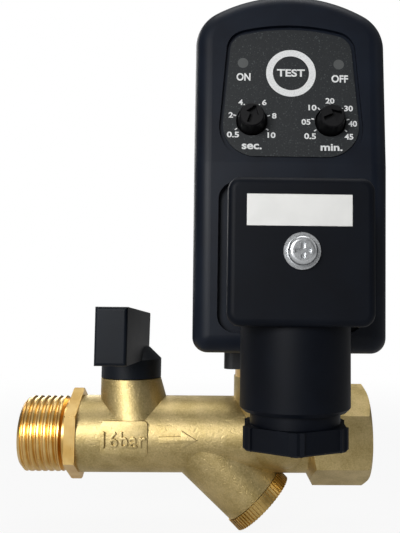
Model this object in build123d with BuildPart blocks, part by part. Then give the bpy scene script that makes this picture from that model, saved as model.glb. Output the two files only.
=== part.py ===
from build123d import *
import os
from math import cos, radians, sin, sqrt, tan

# Timer-controlled condensate drain valve, in millimetres.
# Origin: centre of the inlet flange's outer face, on the pipe axis.
# +X runs with the flow, +Z is up and the controls face -Y.
# "front" values are distances from the solenoid's axis towards -Y.

os.makedirs("parts", exist_ok=True)

# ---- shared clearances ----
fit_gap = 0.05        # pieces that are screwed or pushed together
run_gap = 0.1         # pieces that turn or slide in each other
free_gap = 0.3        # pieces that only pass each other

# ---- water line ----
thread_r = 10.4775    # G1/2 male thread, outside
thread_length = 13.15
thread_chamfer = 1.2
nipple_bore_r = 5.5
nipple_flange_af = 22.2
nipple_flange_thickness = 3.05
spigot_r = 8.4
tube_r = 10.7
outlet_af = 25.0
outlet_end_x = 84.15
outlet_hex_length = 17.3
outlet_shoulder_length = 2.0
outlet_thread_r = 9.3155   # G1/2 female thread, inside
outlet_thread_depth = 14.0
waterway_r = 4.6
hex_bevel_depth = 1.1

# ---- ball valve ----
ball_x = 16.35
ball_r = 7.2
ball_bore_r = 4.2
seat_bore_r = 4.6
seat_front_from_ball = 4.3
seat_back_from_ball = 7.6
ball_tower_r = 8.5
ball_tower_top_z = 15.9
ball_tower_foot_r = 10.2
ball_tower_foot_shift = 1.9
ball_tower_foot_z = 4.0
stem_r = 3.0
stem_collar_r = 4.2
stem_collar_z = (7.5, 9.5)
stem_drive = 4.2
stem_top_z = 24.0
tongue_width = 2.8
tongue_length = 9.0
slot_floor_z = 5.2
stem_oring_z = (11.2, 13.4)
stem_oring_section_r = 0.42
stem_groove_depth = 0.85

# ---- lever ----
hub_r = 8.5
hub_lift = 0.25
hub_shoulder_z = 21.4
hub_neck_r = 5.2
hub_neck_z = 24.6
lever_width = 7.9
lever_reach = 34.7
lever_tail = 9.3
lever_bottom_z = 22.3
lever_tip_top_z = 36.6
lever_tail_top_z = 34.2
lever_edge_radius = 0.8
handle_screw_r = 1.5
handle_screw_head_r = 2.7
handle_screw_head_height = 2.0
handle_screw_seat_z = 26.0
stop_inner_r = 5.6
stop_outer_r = 7.4
stop_height = 1.6
stop_start_angle = 45.0
stop_width_angle = 20.0
stop_play_angle = 1.5
turn_angle = 90.0

screw_recess_width = 0.9

# ---- strainer leg ----
leg_x = 35.25
leg_angle = 45.0
leg_length = 23.6
leg_root_r = 10.4
leg_end_r = 9.6
cap_r = 9.95
cap_rib_depth = 0.35
cap_rib_count = 60
cap_thickness = 3.7
cap_gap = 0.12
cap_thread_r = 7.9
cap_thread_length = 6.4
screen_r = 6.2
screen_wall = 0.4
screen_start = 1.0
screen_seat_depth = 2.6
screen_cap_depth = 3.2     # how far the screen enters the cap's bore
screen_chamber_r = 7.4
screen_window_rows = 4
screen_windows_round = 6
screen_window_width = 3.2
screen_window_margin = 1.3
screen_bridge = 0.2
cap_oring_section_r = 0.7
cap_recess_depth = 1.2

# ---- solenoid valve ----
coil_x = 58.85
solenoid_tower_r = 12.8
solenoid_tower_top_z = 16.7
bowl_depth = 8.56
bowl_flat_r = 6.4
chamber_floor_z = 3.0
chamber_r = 8.0
tower_thread_r = 9.95
tower_thread_floor_z = 9.0
nozzle_r = 3.0
nozzle_top_r = 2.3
nozzle_top_z = 6.0
orifice_r = 1.6
feed_r = 2.5
feed_z = -4.0
drain_r = 2.5
drain_z = 5.5
bonnet_flange_r = 12.5
bonnet_flat_width = 22.0
bonnet_top_z = 19.9
bonnet_spigot_height = 6.2
armature_tube_r = 6.5
armature_bore_r = 5.5
armature_tube_top_z = 61.5
plunger_bottom_z = 7.2
plunger_top_z = 34.0
plunger_chamfer = 0.6
plunger_seal_r = 3.2
plunger_seal_depth = 2.0
plunger_lift = 1.8
core_face_z = 36.0
spring_pocket_r = 2.7
spring_pocket_floor_z = 26.0
spring_coil_r = 1.95
spring_wire_r = 0.35
spring_turns = 5
shading_ring_r = (3.3, 4.3)
shading_ring_height = 1.2
core_stud_r = 4.0
core_stud_top_z = 69.5
stud_chamfer = 0.6
coil_width = 31.0
coil_top_z = 61.9
coil_corner_r = 2.5
coil_edge_r = 1.2
coil_socket_depth = 4.5
coil_boss_size = 27.5
coil_boss_front = 17.5
coil_nut_af = 13.0
coil_nut_height = 5.0
coil_washer_r = 7.8
coil_washer_thickness = 0.8
yoke_width = 25.0
yoke_depth = 21.0
yoke_thickness = 2.0
yoke_bottom_z = 22.5
yoke_top_z = 59.0
bobbin_wall = 0.9
winding_r = 9.8
bobbin_flange_r = 10.3
bobbin_flange_thickness = 1.0

# ---- plugs ----
plug_z = 47.76
plug_gasket_thickness = 1.0
blade_width = 6.3
blade_thickness = 0.8
blade_spacing = 18.0
earth_drop = 9.0
coil_blade_front = 27.0
plug_screw_r = 1.5

# ---- timer ----
case_half_width = 22.8
case_bottom_half_width = 22.3
case_bottom_z = 26.4
case_back = 18.5
case_front = 46.5
case_arch_r = 36.0
case_shoulder_r = 9.5
case_top_z = 112.6
case_wall = 2.0
case_corner_r = 3.5
case_edge_r = 4.2
slope_z = 70.0
slope_angle = 6.2
back_cover_thickness = 2.0
pocket_width = 33.2
pocket_bottom_z = 31.2
pocket_top_z = 65.5
pocket_corner_r = 4.0
pocket_depth = 2.0
cover_screw_inset = 2.6     # from the inside of the case's wall
cover_screw_bottom_margin = 6.6
cover_screw_top_margin = 13.1
cover_screw_boss_r = 2.3
cover_screw_r = 1.1
cover_screw_head_r = 2.0
cover_screw_length = 9.0

# ---- control panel, measured up the sloping face from its foot ----
panel_bottom_s = 0.25
panel_bottom_half_width = 17.4
panel_shoulder_half_width = 15.0
panel_shoulder_s = 31.6
panel_top_s = 34.15
panel_bottom_corner_r = 8.5
panel_top_corner_r = 5.0
panel_recess = 1.0
panel_wall = 2.2
label_groove = 0.85
label_bottom_lift = 0.6    # wider groove under the label
label_thickness = 0.4
dial_s = 10.28
dial_half_spacing = 9.2
dial_hole_r = 3.65
knob_r = 3.3
knob_top_r = 2.8
knob_stand = 4.2
knob_slot_width = 1.0
knob_slot_depth = 1.2
button_s = 22.25
button_r = 4.15
button_travel = 0.5
led_s = 24.65
led_half_spacing = 11.35
led_r = 1.5
led_window_r = 1.2
board_half_width = 15.0
board_s = (-4.0, 34.5)
board_thickness = 1.6
board_standoff = 7.5
relay_size = (12.0, 14.0, 7.0)
relay_spot = (-6.5, 24.0)
capacitor_r = 4.0
capacitor_height = 7.0
capacitor_spot = (7.5, 25.0)
transformer_size = (14.0, 6.0, 5.0)
transformer_spot = (0.0, 8.0)
potentiometer_size = 9.6
switch_size = 6.0
switch_height = 3.5
knob_flange_height = 0.8
knob_collar_room = 0.75     # between the collar and the inside of the panel
knob_collar_r = 4.3
knob_chamfer = 0.25
sec_pointer_angle = -20.0
min_pointer_angle = -67.0
button_collar = 0.8
button_stem_r = 1.8
plug_tube_r = 3.2
timer_blade_inside = 4.0
timer_blade_outside = 10.5
gasket_size = 27.5
gasket_window = 22.5

# ---- cable connector ----
connector_width = 28.1
connector_height = 28.3
connector_front = 74.0
connector_corner_r = 2.6
connector_edge_r = 1.5
connector_wall = 2.4
neck_front = 60.0
neck_r = 11.3
neck_shoulder_z = 16.3
neck_chamfer = 0.8
gland_thread_r = 9.2
gland_thread_bottom_z = 11.6
gland_nut_bottom_z = 9.1
gland_nut_top_z = 13.7
gland_nut_af = 20.0
gland_nut_chamfer = 0.4
gland_ledge = 1.2
gland_rib_r = 11.2
gland_rib_width = 3.0
gland_turn_angle = 3.0
gland_opening_r = 5.6
gland_seal_r = 7.8
gland_seal_bore_r = 4.0
gland_seal_z = (11.2, 19.2)
gland_ring_z = (10.4, 11.2)
terminal_block_depth = 12.0
contact_width = (3.0, 8.0)
washer_r = 3.5
washer_thickness = 0.6
screw_head_r = 2.8
screw_head_height = 2.0

# ---- values worked out from the sizes above ----
leg_cos = cos(radians(leg_angle))
leg_sin = sin(radians(leg_angle))
slope_sin = sin(radians(slope_angle))
slope_cos = cos(radians(slope_angle))
leg_plane = Plane(origin=(leg_x, 0, 0), x_dir=(0, 1, 0), z_dir=(leg_cos, 0, -leg_sin))
panel_plane = Plane(
    origin=(coil_x, -case_front, slope_z),
    x_dir=(1, 0, 0),
    z_dir=(0, -slope_cos, slope_sin),
)
stem_axis = Axis((ball_x, 0, 0), (0, 0, 1))
coil_axis = Axis((coil_x, 0, 0), (0, 0, 1))
body_start_x = nipple_flange_thickness
hex_start_x = outlet_end_x - outlet_hex_length
cavity_r = spigot_r + fit_gap
screen_end = leg_length - cap_thread_length + screen_cap_depth
hub_bottom_z = ball_tower_top_z + hub_lift
case_front_inside = case_front - pocket_depth - panel_wall
recess_floor = -panel_recess
label_top = recess_floor + label_thickness
panel_inside = recess_floor - panel_wall
board_top = panel_inside - board_standoff
cover_screw_x = min(case_half_width, case_bottom_half_width) - case_wall - cover_screw_inset
cover_screw_z = (case_bottom_z + cover_screw_bottom_margin, case_top_z - cover_screw_top_margin)
plug_gap_front = case_front - pocket_depth
connector_back = plug_gap_front + plug_gasket_thickness


def plane_about(axis, angle):
    """Upright plane through a vertical axis: local x is the radius, local y the height."""
    turn = radians(angle)
    return Plane(
        origin=(axis.position.X, axis.position.Y, 0),
        x_dir=(cos(turn), sin(turn), 0),
        z_dir=(sin(turn), -cos(turn), 0),
    )


stop_plane = plane_about(stem_axis, stop_start_angle)
stop_pocket_plane = plane_about(stem_axis, stop_start_angle - stop_play_angle)


def finish(part, name):
    """Labels one finished piece and writes its STEP file."""
    part.label = name
    export_step(part, f"parts/{name}.step")


def across_flats_r(across_flats):
    """Corner radius of a hexagon from its size across flats."""
    return across_flats / 2 / cos(radians(30))


def pan_screw(plane, head_r, head_height, shank_r, shank_length, recess_width):
    """Pan-head screw with a cross recess: its head sits on the plane, its shank runs behind it."""
    with BuildPart() as screw:
        with BuildSketch(plane):
            Circle(head_r)
        extrude(amount=head_height)
        fillet(screw.faces().sort_by(Axis(plane.origin, plane.z_dir))[-1].edges(), head_height * 0.45)
        with BuildSketch(plane):
            Circle(shank_r)
        extrude(amount=-shank_length)
        with BuildSketch(plane.offset(head_height)):
            Rectangle(recess_width, head_r * 1.1)
            Rectangle(head_r * 1.1, recess_width)
        extrude(amount=-head_height * 0.6, mode=Mode.SUBTRACT)
    return screw.part


# ======== water line ========

# inlet nipple: male thread, hexagon flange and the spigot that holds the ball seats
with BuildPart() as inlet_nipple:
    with BuildSketch(Plane.YZ.offset(-thread_length)):
        Circle(thread_r)
    extrude(amount=thread_length)
    chamfer(inlet_nipple.edges().group_by(Axis.X)[0], thread_chamfer)
    with BuildSketch(Plane.YZ):
        RegularPolygon(across_flats_r(nipple_flange_af), 6, rotation=30)
    extrude(amount=nipple_flange_thickness)
    with BuildSketch(Plane.YZ.offset(nipple_flange_thickness)):
        Circle(spigot_r)
    extrude(amount=ball_x - seat_back_from_ball - nipple_flange_thickness)
    with BuildSketch(Plane.YZ.offset(-thread_length)):
        Circle(nipple_bore_r)
    extrude(amount=thread_length + ball_x, mode=Mode.SUBTRACT)
finish(inlet_nipple.part, "inlet_nipple")

# hexagon end of the cast body, bevelled by a cone at both ends
with BuildPart() as outlet_hexagon:
    with BuildSketch(Plane.YZ.offset(hex_start_x)):
        RegularPolygon(across_flats_r(outlet_af), 6, rotation=30)
    extrude(amount=outlet_hex_length)
    corner_r = across_flats_r(outlet_af)
    with BuildSketch(Plane.XZ):
        with BuildLine():
            Polyline(
                (hex_start_x, 0),
                (hex_start_x, tube_r),
                (hex_start_x + outlet_shoulder_length, corner_r),
                (outlet_end_x - hex_bevel_depth, corner_r),
                (outlet_end_x, corner_r - hex_bevel_depth / tan(radians(30))),
                (outlet_end_x, 0),
                close=True,
            )
        make_face()
    revolve(axis=Axis.X, mode=Mode.INTERSECT)

# cast body: pipe, ball-valve tower, solenoid bowl, strainer leg and outlet hexagon
with BuildPart() as valve_body:
    with BuildSketch(Plane.YZ.offset(body_start_x)):
        Circle(tube_r)
    extrude(amount=hex_start_x - body_start_x + outlet_shoulder_length)
    add(outlet_hexagon.part)
    with BuildSketch(Plane.XY):
        with Locations((ball_x, 0)):
            Circle(ball_tower_r)
    extrude(amount=ball_tower_top_z)
    with BuildSketch(Plane.XY.offset(ball_tower_foot_z)):
        with Locations((ball_x + ball_tower_foot_shift, 0)):
            Circle(ball_tower_foot_r)
    with BuildSketch(Plane.XY.offset(ball_tower_top_z)):
        with Locations((ball_x, 0)):
            Circle(ball_tower_r)
    loft()
    with BuildSketch(Plane.XZ):
        with BuildLine():
            Polyline(
                (coil_x, 0),
                (coil_x, solenoid_tower_top_z),
                (coil_x + solenoid_tower_r, solenoid_tower_top_z),
                (coil_x + solenoid_tower_r, 0),
            )
            TangentArc(
                (coil_x + solenoid_tower_r, 0),
                (coil_x + bowl_flat_r, -bowl_depth),
                tangent=(0, -1),
            )
            Polyline((coil_x + bowl_flat_r, -bowl_depth), (coil_x, -bowl_depth), (coil_x, 0))
        make_face()
    revolve(axis=coil_axis)
    with BuildSketch(leg_plane):
        Circle(leg_root_r)
    with BuildSketch(leg_plane.offset(leg_length)):
        Circle(leg_end_r)
    loft()
    # ball cavity and the waterway behind it
    with BuildSketch(Plane.YZ.offset(body_start_x)):
        Circle(cavity_r)
    extrude(amount=ball_x + seat_back_from_ball - body_start_x, mode=Mode.SUBTRACT)
    with BuildSketch(Plane.YZ.offset(ball_x)):
        Circle(waterway_r)
    extrude(amount=leg_x - ball_x, mode=Mode.SUBTRACT)
    # stem bore, with the wider step that the stem's collar rises into
    with BuildSketch(Plane.XY.offset(slot_floor_z)):
        with Locations((ball_x, 0)):
            Circle(stem_collar_r + fit_gap)
    extrude(amount=stem_collar_z[1] + fit_gap - slot_floor_z, mode=Mode.SUBTRACT)
    with BuildSketch(Plane.XY.offset(slot_floor_z)):
        with Locations((ball_x, 0)):
            Circle(stem_r + run_gap)
    extrude(amount=ball_tower_top_z, mode=Mode.SUBTRACT)
    # strainer chamber: thread for the cap, screen chamber, screen seat and inlet
    with BuildSketch(leg_plane.offset(leg_length)):
        Circle(cap_thread_r + run_gap)
    extrude(amount=-cap_thread_length - run_gap, mode=Mode.SUBTRACT)
    with BuildSketch(leg_plane.offset(leg_length)):
        Circle(screen_chamber_r)
    extrude(amount=screen_start + screen_seat_depth - leg_length, mode=Mode.SUBTRACT)
    with BuildSketch(leg_plane.offset(leg_length)):
        Circle(screen_r + run_gap)
    extrude(amount=screen_start - leg_length, mode=Mode.SUBTRACT)
    with BuildSketch(leg_plane.offset(screen_start)):
        Circle(waterway_r)
    extrude(amount=-screen_start - waterway_r / 2, mode=Mode.SUBTRACT)
    # spot face that clears the cap's rim under the pipe
    with BuildSketch(leg_plane.offset(leg_length)):
        Circle(cap_r + free_gap)
    extrude(amount=cap_r, mode=Mode.SUBTRACT)
    # solenoid chamber around its nozzle, the feed below it and the drain to the outlet
    with BuildSketch(Plane.XY.offset(chamber_floor_z)):
        with Locations((coil_x, 0)):
            Circle(chamber_r)
    extrude(amount=solenoid_tower_top_z - chamber_floor_z, mode=Mode.SUBTRACT)
    with BuildSketch(Plane.XY.offset(tower_thread_floor_z)):
        with Locations((coil_x, 0)):
            Circle(tower_thread_r)
    extrude(amount=solenoid_tower_top_z - tower_thread_floor_z, mode=Mode.SUBTRACT)
    with BuildSketch(Plane.XY.offset(chamber_floor_z)):
        with Locations((coil_x, 0)):
            Circle(nozzle_r)
    with BuildSketch(Plane.XY.offset(nozzle_top_z)):
        with Locations((coil_x, 0)):
            Circle(nozzle_top_r)
    loft()
    with BuildSketch(Plane.XY.offset(feed_z)):
        with Locations((coil_x, 0)):
            Circle(orifice_r)
    extrude(amount=nozzle_top_z - feed_z, mode=Mode.SUBTRACT)
    feed_start_x = leg_x + (screen_chamber_r + feed_r) / leg_cos
    with BuildSketch(Plane.YZ.offset(feed_start_x)):
        with Locations((0, feed_z)):
            Circle(feed_r)
    extrude(amount=coil_x + orifice_r - feed_start_x, mode=Mode.SUBTRACT)
    with BuildSketch(Plane.YZ.offset(coil_x + chamber_r / 2)):
        with Locations((0, drain_z)):
            Circle(drain_r)
    extrude(amount=outlet_end_x - coil_x - chamber_r, mode=Mode.SUBTRACT)
    with BuildSketch(Plane.YZ.offset(outlet_end_x)):
        Circle(outlet_thread_r)
    extrude(amount=-outlet_thread_depth, mode=Mode.SUBTRACT)
    # stop that limits the lever to a quarter turn
    with BuildSketch(stop_plane):
        with Locations(((stop_inner_r + stop_outer_r) / 2, ball_tower_top_z)):
            Rectangle(stop_outer_r - stop_inner_r - 2 * run_gap, 2 * (stop_height - run_gap))
    revolve(axis=stem_axis, revolution_arc=stop_width_angle)
finish(valve_body.part, "valve_body")

# ======== ball valve ========

with BuildPart() as ball:
    with Locations((ball_x, 0, 0)):
        Sphere(ball_r)
    with BuildSketch(Plane.XZ):
        with Locations((ball_x, 0)):
            Circle(ball_bore_r)
    extrude(amount=ball_r, both=True, mode=Mode.SUBTRACT)
    with BuildSketch(Plane.XY.offset(slot_floor_z)):
        with Locations((ball_x, 0)):
            Rectangle(2 * ball_r, tongue_width + 2 * run_gap)
    extrude(amount=ball_r, mode=Mode.SUBTRACT)
finish(ball.part, "ball")

# two rings with a spherical face against the ball
with BuildPart() as ball_seats:
    with BuildSketch(Plane.XZ):
        for side in (-1, 1):
            with Locations((
                ball_x + side * (seat_front_from_ball + seat_back_from_ball) / 2,
                (seat_bore_r + spigot_r - fit_gap) / 2,
            )):
                Rectangle(
                    seat_back_from_ball - seat_front_from_ball,
                    spigot_r - fit_gap - seat_bore_r,
                )
        with Locations((ball_x, 0)):
            Circle(ball_r + run_gap, mode=Mode.SUBTRACT)
    revolve(axis=Axis.X)
finish(ball_seats.part, "ball_seats")

with BuildPart() as stem:
    with BuildSketch(Plane.XY.offset(slot_floor_z + run_gap)):
        with Locations((ball_x, 0)):
            Rectangle(tongue_length, tongue_width)
            Circle(stem_collar_r - run_gap, mode=Mode.INTERSECT)
    extrude(amount=stem_collar_z[0] - slot_floor_z - run_gap)
    with BuildSketch(Plane.XY.offset(stem_collar_z[0])):
        with Locations((ball_x, 0)):
            Circle(stem_collar_r - fit_gap)
    extrude(amount=stem_collar_z[1] - stem_collar_z[0] - fit_gap)
    with BuildSketch(Plane.XY.offset(stem_collar_z[0])):
        with Locations((ball_x, 0)):
            Circle(stem_r)
    extrude(amount=hub_bottom_z - stem_collar_z[0])
    with BuildSketch(Plane.XY.offset(hub_bottom_z)):
        with Locations((ball_x, 0)):
            Rectangle(stem_drive, stem_drive)
    extrude(amount=stem_top_z - hub_bottom_z)
    for groove_z in stem_oring_z:
        with BuildSketch(Plane.XY.offset(groove_z - stem_oring_section_r - fit_gap)):
            with Locations((ball_x, 0)):
                Circle(stem_r + run_gap)
                Circle(stem_r - stem_groove_depth, mode=Mode.SUBTRACT)
        extrude(amount=2 * (stem_oring_section_r + fit_gap), mode=Mode.SUBTRACT)
    with BuildSketch(Plane.XY.offset(stem_top_z)):
        with Locations((ball_x, 0)):
            Circle(handle_screw_r + fit_gap)
    extrude(amount=hub_bottom_z - stem_top_z, mode=Mode.SUBTRACT)
finish(stem.part, "stem")

stem_oring_r = stem_r + run_gap / 2 - stem_groove_depth + stem_oring_section_r
with BuildPart() as stem_orings:
    with Locations([(ball_x, 0, z) for z in stem_oring_z]):
        Torus(stem_oring_r, stem_oring_section_r)
finish(stem_orings.part, "stem_orings")

# lever: round hub with a sloping shoulder, and an upright grip that reaches forward
with BuildPart() as handle:
    with BuildSketch(Plane.XZ):
        with BuildLine():
            Polyline(
                (ball_x, hub_bottom_z),
                (ball_x + hub_r, hub_bottom_z),
                (ball_x + hub_r, hub_shoulder_z),
                (ball_x + hub_neck_r, hub_neck_z),
                (ball_x, hub_neck_z),
                close=True,
            )
        make_face()
    revolve(axis=stem_axis)
    with BuildSketch(Plane.YZ.offset(ball_x)):
        with BuildLine():
            Polyline(
                (-lever_reach, lever_bottom_z),
                (-lever_reach, lever_tip_top_z),
                (lever_tail, lever_tail_top_z),
                (hub_r - lever_edge_radius, hub_shoulder_z),
                (-hub_r, hub_shoulder_z),
                close=True,
            )
        make_face()
    extrude(amount=lever_width / 2, both=True)
    tip_edges = handle.edges().group_by(Axis.Y)[0]
    fillet(tip_edges, lever_edge_radius)
    tail_edge = handle.edges().filter_by(Axis.X).sort_by(Axis.Y)[-1]
    fillet(tail_edge, lever_edge_radius)
    with BuildSketch(Plane.XY.offset(hub_bottom_z)):
        with Locations((ball_x, 0)):
            Rectangle(stem_drive + 2 * fit_gap, stem_drive + 2 * fit_gap)
    extrude(amount=stem_top_z + fit_gap - hub_bottom_z, mode=Mode.SUBTRACT)
    with BuildSketch(Plane.XY.offset(stem_top_z)):
        with Locations((ball_x, 0)):
            Circle(handle_screw_r + run_gap)
    extrude(amount=handle_screw_seat_z - stem_top_z, mode=Mode.SUBTRACT)
    with BuildSketch(Plane.XY.offset(handle_screw_seat_z)):
        with Locations((ball_x, 0)):
            Circle(handle_screw_head_r + run_gap)
    extrude(amount=lever_tip_top_z - handle_screw_seat_z, mode=Mode.SUBTRACT)
    with BuildSketch(stop_pocket_plane):
        with Locations(((stop_inner_r + stop_outer_r) / 2, hub_bottom_z)):
            Rectangle(stop_outer_r - stop_inner_r, 2 * stop_height)
    revolve(
        axis=stem_axis,
        revolution_arc=turn_angle + stop_width_angle + 2 * stop_play_angle,
        mode=Mode.SUBTRACT,
    )
finish(handle.part, "handle")


handle_screw = pan_screw(
    Plane(origin=(ball_x, 0, handle_screw_seat_z)),
    handle_screw_head_r,
    handle_screw_head_height,
    handle_screw_r,
    handle_screw_seat_z - hub_bottom_z - fit_gap,
    screw_recess_width,
)
finish(handle_screw, "handle_screw")

# ======== strainer ========

# tube with rows of windows, open at the inner end
screen_height = screen_end - screen_start
with BuildPart() as strainer_screen:
    with BuildSketch(leg_plane.offset(screen_start)):
        Circle(screen_r)
        Circle(screen_r - screen_wall, mode=Mode.SUBTRACT)
    extrude(amount=screen_height)
    windows_start = screen_start + screen_seat_depth + screen_window_margin
    windows_end = leg_length - cap_thread_length - screen_window_margin
    row_pitch = (windows_end - windows_start + screen_bridge) / screen_window_rows
    window_height = row_pitch - screen_bridge
    for row in range(screen_window_rows):
        for spoke in range(screen_windows_round // 2):
            with BuildSketch(leg_plane.offset(windows_start + window_height / 2 + row * row_pitch)):
                Rectangle(
                    4 * screen_r,
                    screen_window_width,
                    rotation=360 * spoke / screen_windows_round,
                )
            extrude(amount=window_height / 2, both=True, mode=Mode.SUBTRACT)
finish(strainer_screen.part, "strainer_screen")

# screwed cap with a ribbed rim and a bore that holds the screen's outer end
with BuildPart() as strainer_cap:
    with BuildSketch(leg_plane.offset(leg_length + cap_gap)):
        Circle(cap_r)
        rib_width = cap_r * radians(360 / cap_rib_count) / 2
        with PolarLocations(cap_r, cap_rib_count):
            Rectangle(2 * cap_rib_depth, rib_width, mode=Mode.SUBTRACT)
    extrude(amount=cap_thickness)
    with BuildSketch(leg_plane.offset(leg_length - cap_thread_length)):
        Circle(cap_thread_r)
    extrude(amount=cap_thread_length + cap_gap)
    with BuildSketch(leg_plane.offset(leg_length - cap_thread_length)):
        Circle(screen_r + fit_gap)
    extrude(amount=screen_end + fit_gap - leg_length + cap_thread_length, mode=Mode.SUBTRACT)
    groove_inner_r = cap_thread_r - cap_oring_section_r
    with BuildSketch(leg_plane.offset(leg_length + cap_gap)):
        Circle(cap_thread_r + run_gap)
        Circle(groove_inner_r, mode=Mode.SUBTRACT)
    extrude(amount=-2 * cap_oring_section_r - run_gap, mode=Mode.SUBTRACT)
    with BuildSketch(leg_plane.offset(leg_length + cap_gap + cap_thickness)):
        Circle(cap_r * 0.62)
    extrude(amount=-cap_recess_depth, taper=20, mode=Mode.SUBTRACT)
finish(strainer_cap.part, "strainer_cap")

cap_oring_r = cap_thread_r - run_gap / 2
oring_plane = leg_plane.offset(leg_length + cap_gap - cap_oring_section_r - run_gap)
with BuildPart() as cap_oring:
    with BuildSketch(Plane(origin=oring_plane.origin, x_dir=oring_plane.x_dir, z_dir=oring_plane.y_dir)):
        with Locations((groove_inner_r + cap_oring_section_r / 2 + fit_gap, 0)):
            Circle(cap_oring_section_r / 2)
    revolve(axis=Axis(oring_plane.origin, oring_plane.z_dir))
finish(cap_oring.part, "cap_oring")

# ======== solenoid ========

# brass bonnet: threaded spigot, round flange, and the tube that the plunger runs in
with BuildPart() as armature_tube:
    with BuildSketch(Plane.XY.offset(solenoid_tower_top_z - bonnet_spigot_height)):
        with Locations((coil_x, 0)):
            Circle(tower_thread_r - fit_gap)
    extrude(amount=bonnet_spigot_height)
    with BuildSketch(Plane.XY.offset(solenoid_tower_top_z)):
        with Locations((coil_x, 0)):
            Circle(bonnet_flange_r)
            Rectangle(2 * bonnet_flange_r, bonnet_flat_width, mode=Mode.INTERSECT)
    extrude(amount=bonnet_top_z - solenoid_tower_top_z)
    with BuildSketch(Plane.XY.offset(bonnet_top_z)):
        with Locations((coil_x, 0)):
            Circle(armature_tube_r)
    extrude(amount=armature_tube_top_z - bonnet_top_z)
    with BuildSketch(Plane.XY):
        with Locations((coil_x, 0)):
            Circle(armature_bore_r)
    extrude(amount=armature_tube_top_z, mode=Mode.SUBTRACT)
finish(armature_tube.part, "armature_tube")

bonnet_oring_gap = solenoid_tower_top_z - bonnet_spigot_height - tower_thread_floor_z
bonnet_oring_section_r = bonnet_oring_gap / 2 - fit_gap
with BuildPart() as bonnet_oring:
    with Locations((coil_x, 0, tower_thread_floor_z + bonnet_oring_gap / 2)):
        Torus(tower_thread_r - bonnet_oring_section_r - fit_gap, bonnet_oring_section_r)
finish(bonnet_oring.part, "bonnet_oring")

with BuildPart() as plunger:
    with BuildSketch(Plane.XY.offset(plunger_bottom_z)):
        with Locations((coil_x, 0)):
            Circle(armature_bore_r - run_gap)
    extrude(amount=plunger_top_z - plunger_bottom_z)
    chamfer(plunger.edges().group_by(Axis.Z)[0], plunger_chamfer)
    with BuildSketch(Plane.XY.offset(plunger_bottom_z)):
        with Locations((coil_x, 0)):
            Circle(plunger_seal_r + fit_gap)
    extrude(amount=plunger_seal_depth, mode=Mode.SUBTRACT)
    with BuildSketch(Plane.XY.offset(spring_pocket_floor_z)):
        with Locations((coil_x, 0)):
            Circle(spring_pocket_r)
    extrude(amount=plunger_top_z - spring_pocket_floor_z, mode=Mode.SUBTRACT)
finish(plunger.part, "plunger")

seal_bottom_z = nozzle_top_z + fit_gap
with BuildPart() as plunger_seal:
    with BuildSketch(Plane.XY.offset(seal_bottom_z)):
        with Locations((coil_x, 0)):
            Circle(plunger_seal_r)
    extrude(amount=plunger_bottom_z + plunger_seal_depth - seal_bottom_z)
finish(plunger_seal.part, "plunger_seal")

with BuildPart() as plunger_spring:
    spring_bottom_z = spring_pocket_floor_z + spring_wire_r
    spring_height = core_face_z - spring_pocket_floor_z - 2 * spring_wire_r
    with BuildLine():
        Helix(
            pitch=spring_height / spring_turns,
            height=spring_height,
            radius=spring_coil_r,
            center=(coil_x, 0, spring_bottom_z),
        )
    with BuildSketch(Plane(origin=(coil_x + spring_coil_r, 0, spring_bottom_z), z_dir=(0, 1, 0))):
        Circle(spring_wire_r)
    sweep(is_frenet=True)
finish(plunger_spring.part, "plunger_spring")

with BuildPart() as fixed_core:
    with BuildSketch(Plane.XY.offset(core_face_z)):
        with Locations((coil_x, 0)):
            Circle(armature_bore_r - fit_gap)
    extrude(amount=armature_tube_top_z - core_face_z)
    with BuildSketch(Plane.XY.offset(armature_tube_top_z)):
        with Locations((coil_x, 0)):
            Circle(core_stud_r)
    extrude(amount=core_stud_top_z - armature_tube_top_z)
    chamfer(fixed_core.edges().group_by(Axis.Z)[-1], stud_chamfer)
    with BuildSketch(Plane.XY.offset(core_face_z)):
        with Locations((coil_x, 0)):
            Circle(shading_ring_r[1] + fit_gap)
            Circle(shading_ring_r[0] - fit_gap, mode=Mode.SUBTRACT)
    extrude(amount=shading_ring_height + fit_gap, mode=Mode.SUBTRACT)
finish(fixed_core.part, "fixed_core")

with BuildPart() as shading_ring:
    with BuildSketch(Plane.XY.offset(core_face_z)):
        with Locations((coil_x, 0)):
            Circle(shading_ring_r[1])
            Circle(shading_ring_r[0], mode=Mode.SUBTRACT)
    extrude(amount=shading_ring_height)
finish(shading_ring.part, "shading_ring")

# ======== coil ========

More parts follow.
